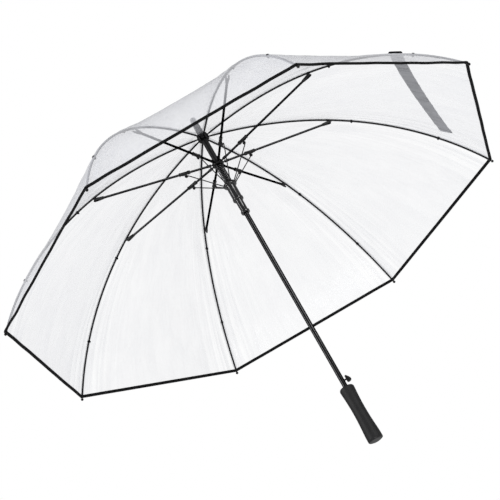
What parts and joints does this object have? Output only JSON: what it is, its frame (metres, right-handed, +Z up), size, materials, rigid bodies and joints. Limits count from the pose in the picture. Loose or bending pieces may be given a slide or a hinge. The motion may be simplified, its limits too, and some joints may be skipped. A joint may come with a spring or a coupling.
{
  "type": "stick umbrella",
  "caption": "Open stick umbrella with a clear faceted dome canopy, bent black ribs, spring-driven double runner on a straight shaft, and a straight soft grip with a release button.",
  "frame": {"origin": "centre of the handle's flat end", "axes": "+Z up the shaft to the ferrule; +X towards the release button; the ribs stand 22.5 degrees either side of each axis"},
  "size_m": [1.0164, 1.0164, 0.8147],
  "materials": {
    "black_tube": "satin black",
    "fibreglass_rod": "satin black",
    "black_channel": "satin black",
    "black_plastic": "moulded, slight sheen",
    "runner_plastic": "moulded, glossy black",
    "steel_wire": "thin drawn wire",
    "spring_steel": "blackened spring wire",
    "foam_grip": "matte foam, fine texture",
    "clear_film": "clear film, faintly frosted",
    "strap_film": "dark smooth band"
  },
  "bodies": {
    "shaft_body": {"shaft": "black_tube", "ferrule": "black_plastic", "top_notch": "black_plastic", "handle_grip": "foam_grip", "handle_end_cap": "black_plastic"},
    "notch_pin_body": {"notch_pin": "steel_wire"},
    "hub_pin_body": {"hub_pin": "steel_wire"},
    "hub_body": {"stretcher_hub": "black_plastic", "opening_spring": "spring_steel"},
    "runner_body": {"runner": "runner_plastic"},
    "button_body": {"release_button": "black_plastic"},
    "rib_1_body": {"rib_1": "fibreglass_rod", "rib_tip_1": "black_plastic"},
    "rib_2_body": {"rib_2": "fibreglass_rod", "rib_tip_2": "black_plastic"},
    "rib_3_body": {"rib_3": "fibreglass_rod", "rib_tip_3": "black_plastic"},
    "rib_4_body": {"rib_4": "fibreglass_rod", "rib_tip_4": "black_plastic"},
    "rib_5_body": {"rib_5": "fibreglass_rod", "rib_tip_5": "black_plastic"},
    "rib_6_body": {"rib_6": "fibreglass_rod", "rib_tip_6": "black_plastic"},
    "rib_7_body": {"rib_7": "fibreglass_rod", "rib_tip_7": "black_plastic"},
    "rib_8_body": {"rib_8": "fibreglass_rod", "rib_tip_8": "black_plastic"},
    "stretcher_1_body": {"stretcher_1": "black_channel", "rib_connector_1": "black_plastic"},
    "stretcher_2_body": {"stretcher_2": "black_channel", "rib_connector_2": "black_plastic"},
    "stretcher_3_body": {"stretcher_3": "black_channel", "rib_connector_3": "black_plastic"},
    "stretcher_4_body": {"stretcher_4": "black_channel", "rib_connector_4": "black_plastic"},
    "stretcher_5_body": {"stretcher_5": "black_channel", "rib_connector_5": "black_plastic"},
    "stretcher_6_body": {"stretcher_6": "black_channel", "rib_connector_6": "black_plastic"},
    "stretcher_7_body": {"stretcher_7": "black_channel", "rib_connector_7": "black_plastic"},
    "stretcher_8_body": {"stretcher_8": "black_channel", "rib_connector_8": "black_plastic"},
    "pull_wire_1_body": {"pull_wire_1": "steel_wire"},
    "pull_wire_2_body": {"pull_wire_2": "steel_wire"},
    "pull_wire_3_body": {"pull_wire_3": "steel_wire"},
    "pull_wire_4_body": {"pull_wire_4": "steel_wire"},
    "pull_wire_5_body": {"pull_wire_5": "steel_wire"},
    "pull_wire_6_body": {"pull_wire_6": "steel_wire"},
    "pull_wire_7_body": {"pull_wire_7": "steel_wire"},
    "pull_wire_8_body": {"pull_wire_8": "steel_wire"},
    "canopy_panel_1_body": {"canopy_panel_1": "clear_film"},
    "canopy_panel_2_body": {"canopy_panel_2": "clear_film"},
    "canopy_panel_3_body": {"canopy_panel_3": "clear_film"},
    "canopy_panel_4_body": {"canopy_panel_4": "clear_film"},
    "canopy_panel_5_body": {"canopy_panel_5": "clear_film"},
    "canopy_panel_6_body": {"canopy_panel_6": "clear_film"},
    "canopy_panel_7_body": {"canopy_panel_7": "clear_film"},
    "canopy_panel_8_body": {"canopy_panel_8": "clear_film", "closing_strap": "strap_film"}
  },
  "joints": [
    {"name": "rib_1_fold", "type": "hinge", "parent": "shaft_body", "child": "rib_1_body", "pos_m": [0.00785, 0.00325, 0.76], "axis": [-0.3827, 0.9239, 0], "range_deg": [0, 61.63], "stiffness_Nm_per_rad": 2.6, "springref_deg": -126.05},
    {"name": "rib_2_fold", "type": "hinge", "parent": "shaft_body", "child": "rib_2_body", "pos_m": [0.00325, 0.00785, 0.76], "axis": [-0.9239, 0.3827, 0], "range_deg": [0, 61.63]},
    {"name": "rib_3_fold", "type": "hinge", "parent": "shaft_body", "child": "rib_3_body", "pos_m": [-0.00325, 0.00785, 0.76], "axis": [-0.9239, -0.3827, 0], "range_deg": [0, 61.63]},
    {"name": "rib_4_fold", "type": "hinge", "parent": "shaft_body", "child": "rib_4_body", "pos_m": [-0.00785, 0.00325, 0.76], "axis": [-0.3827, -0.9239, 0], "range_deg": [0, 61.63]},
    {"name": "rib_5_fold", "type": "hinge", "parent": "shaft_body", "child": "rib_5_body", "pos_m": [-0.00785, -0.00325, 0.76], "axis": [0.3827, -0.9239, 0], "range_deg": [0, 61.63]},
    {"name": "rib_6_fold", "type": "hinge", "parent": "shaft_body", "child": "rib_6_body", "pos_m": [-0.00325, -0.00785, 0.76], "axis": [0.9239, -0.3827, 0], "range_deg": [0, 61.63]},
    {"name": "rib_7_fold", "type": "hinge", "parent": "shaft_body", "child": "rib_7_body", "pos_m": [0.00325, -0.00785, 0.76], "axis": [0.9239, 0.3827, 0], "range_deg": [0, 61.63]},
    {"name": "rib_8_fold", "type": "hinge", "parent": "shaft_body", "child": "rib_8_body", "pos_m": [0.00785, -0.00325, 0.76], "axis": [0.3827, 0.9239, 0], "range_deg": [0, 61.63]},
    {"name": "notch_pin_turn", "type": "hinge", "parent": "shaft_body", "child": "notch_pin_body", "pos_m": [0.0075, 0, 0.7634], "axis": [0, 1, 0], "range_deg": [0, 74.63]},
    {"name": "hub_pin_turn", "type": "hinge", "parent": "notch_pin_body", "child": "hub_pin_body", "pos_m": [0.26426, 0, 0.7243], "axis": [0, 1, 0], "range_deg": [-149.27, 0]},
    {"name": "hub_travel", "type": "hinge", "parent": "hub_pin_body", "child": "hub_body", "pos_m": [0.0075, 0, 0.6852], "axis": [0, 1, 0], "range_deg": [0, 74.63]},
    {"name": "runner_slide", "type": "slide", "parent": "hub_body", "child": "runner_body", "axis": [0, 0, 1], "range_m": [0, 0.03998], "deforming": ["opening_spring"]},
    {"name": "stretcher_1_swing", "type": "hinge", "parent": "hub_body", "child": "stretcher_1_body", "pos_m": [0.00831, 0.00344, 0.6882], "axis": [0.3827, -0.9239, 0], "range_deg": [0, 72.44]},
    {"name": "stretcher_2_swing", "type": "hinge", "parent": "hub_body", "child": "stretcher_2_body", "pos_m": [0.00344, 0.00831, 0.6882], "axis": [0.9239, -0.3827, 0], "range_deg": [0, 72.44]},
    {"name": "stretcher_3_swing", "type": "hinge", "parent": "hub_body", "child": "stretcher_3_body", "pos_m": [-0.00344, 0.00831, 0.6882], "axis": [0.9239, 0.3827, 0], "range_deg": [0, 72.44]},
    {"name": "stretcher_4_swing", "type": "hinge", "parent": "hub_body", "child": "stretcher_4_body", "pos_m": [-0.00831, 0.00344, 0.6882], "axis": [0.3827, 0.9239, 0], "range_deg": [0, 72.44]},
    {"name": "stretcher_5_swing", "type": "hinge", "parent": "hub_body", "child": "stretcher_5_body", "pos_m": [-0.00831, -0.00344, 0.6882], "axis": [-0.3827, 0.9239, 0], "range_deg": [0, 72.44]},
    {"name": "stretcher_6_swing", "type": "hinge", "parent": "hub_body", "child": "stretcher_6_body", "pos_m": [-0.00344, -0.00831, 0.6882], "axis": [-0.9239, 0.3827, 0], "range_deg": [0, 72.44]},
    {"name": "stretcher_7_swing", "type": "hinge", "parent": "hub_body", "child": "stretcher_7_body", "pos_m": [0.00344, -0.00831, 0.6882], "axis": [-0.9239, -0.3827, 0], "range_deg": [0, 72.44]},
    {"name": "stretcher_8_swing", "type": "hinge", "parent": "hub_body", "child": "stretcher_8_body", "pos_m": [0.00831, -0.00344, 0.6882], "axis": [-0.3827, -0.9239, 0], "range_deg": [0, 72.44]},
    {"name": "pull_wire_1_swing", "type": "hinge", "parent": "runner_body", "child": "pull_wire_1_body", "pos_m": [0.01109, 0.00459, 0.6304], "axis": [0.3827, -0.9239, 0], "range_deg": [0, 34.33]},
    {"name": "pull_wire_2_swing", "type": "hinge", "parent": "runner_body", "child": "pull_wire_2_body", "pos_m": [0.00459, 0.01109, 0.6304], "axis": [0.9239, -0.3827, 0], "range_deg": [0, 34.33]},
    {"name": "pull_wire_3_swing", "type": "hinge", "parent": "runner_body", "child": "pull_wire_3_body", "pos_m": [-0.00459, 0.01109, 0.6304], "axis": [0.9239, 0.3827, 0], "range_deg": [0, 34.33]},
    {"name": "pull_wire_4_swing", "type": "hinge", "parent": "runner_body", "child": "pull_wire_4_body", "pos_m": [-0.01109, 0.00459, 0.6304], "axis": [0.3827, 0.9239, 0], "range_deg": [0, 34.33]},
    {"name": "pull_wire_5_swing", "type": "hinge", "parent": "runner_body", "child": "pull_wire_5_body", "pos_m": [-0.01109, -0.00459, 0.6304], "axis": [-0.3827, 0.9239, 0], "range_deg": [0, 34.33]},
    {"name": "pull_wire_6_swing", "type": "hinge", "parent": "runner_body", "child": "pull_wire_6_body", "pos_m": [-0.00459, -0.01109, 0.6304], "axis": [-0.9239, 0.3827, 0], "range_deg": [0, 34.33]},
    {"name": "pull_wire_7_swing", "type": "hinge", "parent": "runner_body", "child": "pull_wire_7_body", "pos_m": [0.00459, -0.01109, 0.6304], "axis": [-0.9239, -0.3827, 0], "range_deg": [0, 34.33]},
    {"name": "pull_wire_8_swing", "type": "hinge", "parent": "runner_body", "child": "pull_wire_8_body", "pos_m": [0.01109, -0.00459, 0.6304], "axis": [-0.3827, -0.9239, 0], "range_deg": [0, 34.33]},
    {"name": "canopy_panel_1_fold", "type": "hinge", "parent": "rib_1_body", "child": "canopy_panel_1_body", "pos_m": [0.00651, 0.00651, 0.76], "axis": [-0.6193, -0.6193, -0.4826], "range_deg": [0, 45.22], "deforming": ["canopy_panel_1"]},
    {"name": "canopy_panel_2_fold", "type": "hinge", "parent": "rib_2_body", "child": "canopy_panel_2_body", "pos_m": [0, 0.0092, 0.76], "axis": [0, -0.8758, -0.4826], "range_deg": [0, 45.22], "deforming": ["canopy_panel_2"]},
    {"name": "canopy_panel_3_fold", "type": "hinge", "parent": "rib_3_body", "child": "canopy_panel_3_body", "pos_m": [-0.00651, 0.00651, 0.76], "axis": [0.6193, -0.6193, -0.4826], "range_deg": [0, 45.22], "deforming": ["canopy_panel_3"]},
    {"name": "canopy_panel_4_fold", "type": "hinge", "parent": "rib_4_body", "child": "canopy_panel_4_body", "pos_m": [-0.0092, 0, 0.76], "axis": [0.8758, 0, -0.4826], "range_deg": [0, 45.22], "deforming": ["canopy_panel_4"]},
    {"name": "canopy_panel_5_fold", "type": "hinge", "parent": "rib_5_body", "child": "canopy_panel_5_body", "pos_m": [-0.00651, -0.00651, 0.76], "axis": [0.6193, 0.6193, -0.4826], "range_deg": [0, 45.22], "deforming": ["canopy_panel_5"]},
    {"name": "canopy_panel_6_fold", "type": "hinge", "parent": "rib_6_body", "child": "canopy_panel_6_body", "pos_m": [0, -0.0092, 0.76], "axis": [0, 0.8758, -0.4826], "range_deg": [0, 45.22], "deforming": ["canopy_panel_6"]},
    {"name": "canopy_panel_7_fold", "type": "hinge", "parent": "rib_7_body", "child": "canopy_panel_7_body", "pos_m": [0.00651, -0.00651, 0.76], "axis": [-0.6193, 0.6193, -0.4826], "range_deg": [0, 45.22], "deforming": ["canopy_panel_7"]},
    {"name": "canopy_panel_8_fold", "type": "hinge", "parent": "rib_8_body", "child": "canopy_panel_8_body", "pos_m": [0.0092, 0, 0.76], "axis": [-0.8758, 0, -0.4826], "range_deg": [0, 45.22], "deforming": ["canopy_panel_8", "closing_strap"]},
    {"name": "button_press", "type": "slide", "parent": "shaft_body", "child": "button_body", "axis": [-1, 0, 0], "range_m": [0, 0.0025], "stiffness_N_per_m": 400, "springref_m": -0.002}
  ],
  "couplings": [
    {"joint": "rib_2_fold", "follows": "rib_1_fold", "ratio": 1},
    {"joint": "rib_3_fold", "follows": "rib_1_fold", "ratio": 1},
    {"joint": "rib_4_fold", "follows": "rib_1_fold", "ratio": 1},
    {"joint": "rib_5_fold", "follows": "rib_1_fold", "ratio": 1},
    {"joint": "rib_6_fold", "follows": "rib_1_fold", "ratio": 1},
    {"joint": "rib_7_fold", "follows": "rib_1_fold", "ratio": 1},
    {"joint": "rib_8_fold", "follows": "rib_1_fold", "ratio": 1},
    {"joint": "notch_pin_turn", "follows": "rib_1_fold", "ratio": 1.211},
    {"joint": "hub_pin_turn", "follows": "rib_1_fold", "ratio": -2.422},
    {"joint": "hub_travel", "follows": "rib_1_fold", "ratio": 1.211},
    {"joint": "runner_slide", "follows": "rib_1_fold", "m_per_rad": 0.037172},
    {"joint": "stretcher_1_swing", "follows": "rib_1_fold", "ratio": 1.1754},
    {"joint": "stretcher_2_swing", "follows": "rib_1_fold", "ratio": 1.1754},
    {"joint": "stretcher_3_swing", "follows": "rib_1_fold", "ratio": 1.1754},
    {"joint": "stretcher_4_swing", "follows": "rib_1_fold", "ratio": 1.1754},
    {"joint": "stretcher_5_swing", "follows": "rib_1_fold", "ratio": 1.1754},
    {"joint": "stretcher_6_swing", "follows": "rib_1_fold", "ratio": 1.1754},
    {"joint": "stretcher_7_swing", "follows": "rib_1_fold", "ratio": 1.1754},
    {"joint": "stretcher_8_swing", "follows": "rib_1_fold", "ratio": 1.1754},
    {"joint": "pull_wire_1_swing", "follows": "rib_1_fold", "ratio": 0.55698},
    {"joint": "pull_wire_2_swing", "follows": "rib_1_fold", "ratio": 0.55698},
    {"joint": "pull_wire_3_swing", "follows": "rib_1_fold", "ratio": 0.55698},
    {"joint": "pull_wire_4_swing", "follows": "rib_1_fold", "ratio": 0.55698},
    {"joint": "pull_wire_5_swing", "follows": "rib_1_fold", "ratio": 0.55698},
    {"joint": "pull_wire_6_swing", "follows": "rib_1_fold", "ratio": 0.55698},
    {"joint": "pull_wire_7_swing", "follows": "rib_1_fold", "ratio": 0.55698},
    {"joint": "pull_wire_8_swing", "follows": "rib_1_fold", "ratio": 0.55698},
    {"joint": "canopy_panel_1_fold", "follows": "rib_1_fold", "ratio": 0.73375},
    {"joint": "canopy_panel_2_fold", "follows": "rib_1_fold", "ratio": 0.73375},
    {"joint": "canopy_panel_3_fold", "follows": "rib_1_fold", "ratio": 0.73375},
    {"joint": "canopy_panel_4_fold", "follows": "rib_1_fold", "ratio": 0.73375},
    {"joint": "canopy_panel_5_fold", "follows": "rib_1_fold", "ratio": 0.73375},
    {"joint": "canopy_panel_6_fold", "follows": "rib_1_fold", "ratio": 0.73375},
    {"joint": "canopy_panel_7_fold", "follows": "rib_1_fold", "ratio": 0.73375},
    {"joint": "canopy_panel_8_fold", "follows": "rib_1_fold", "ratio": 0.73375}
  ]
}
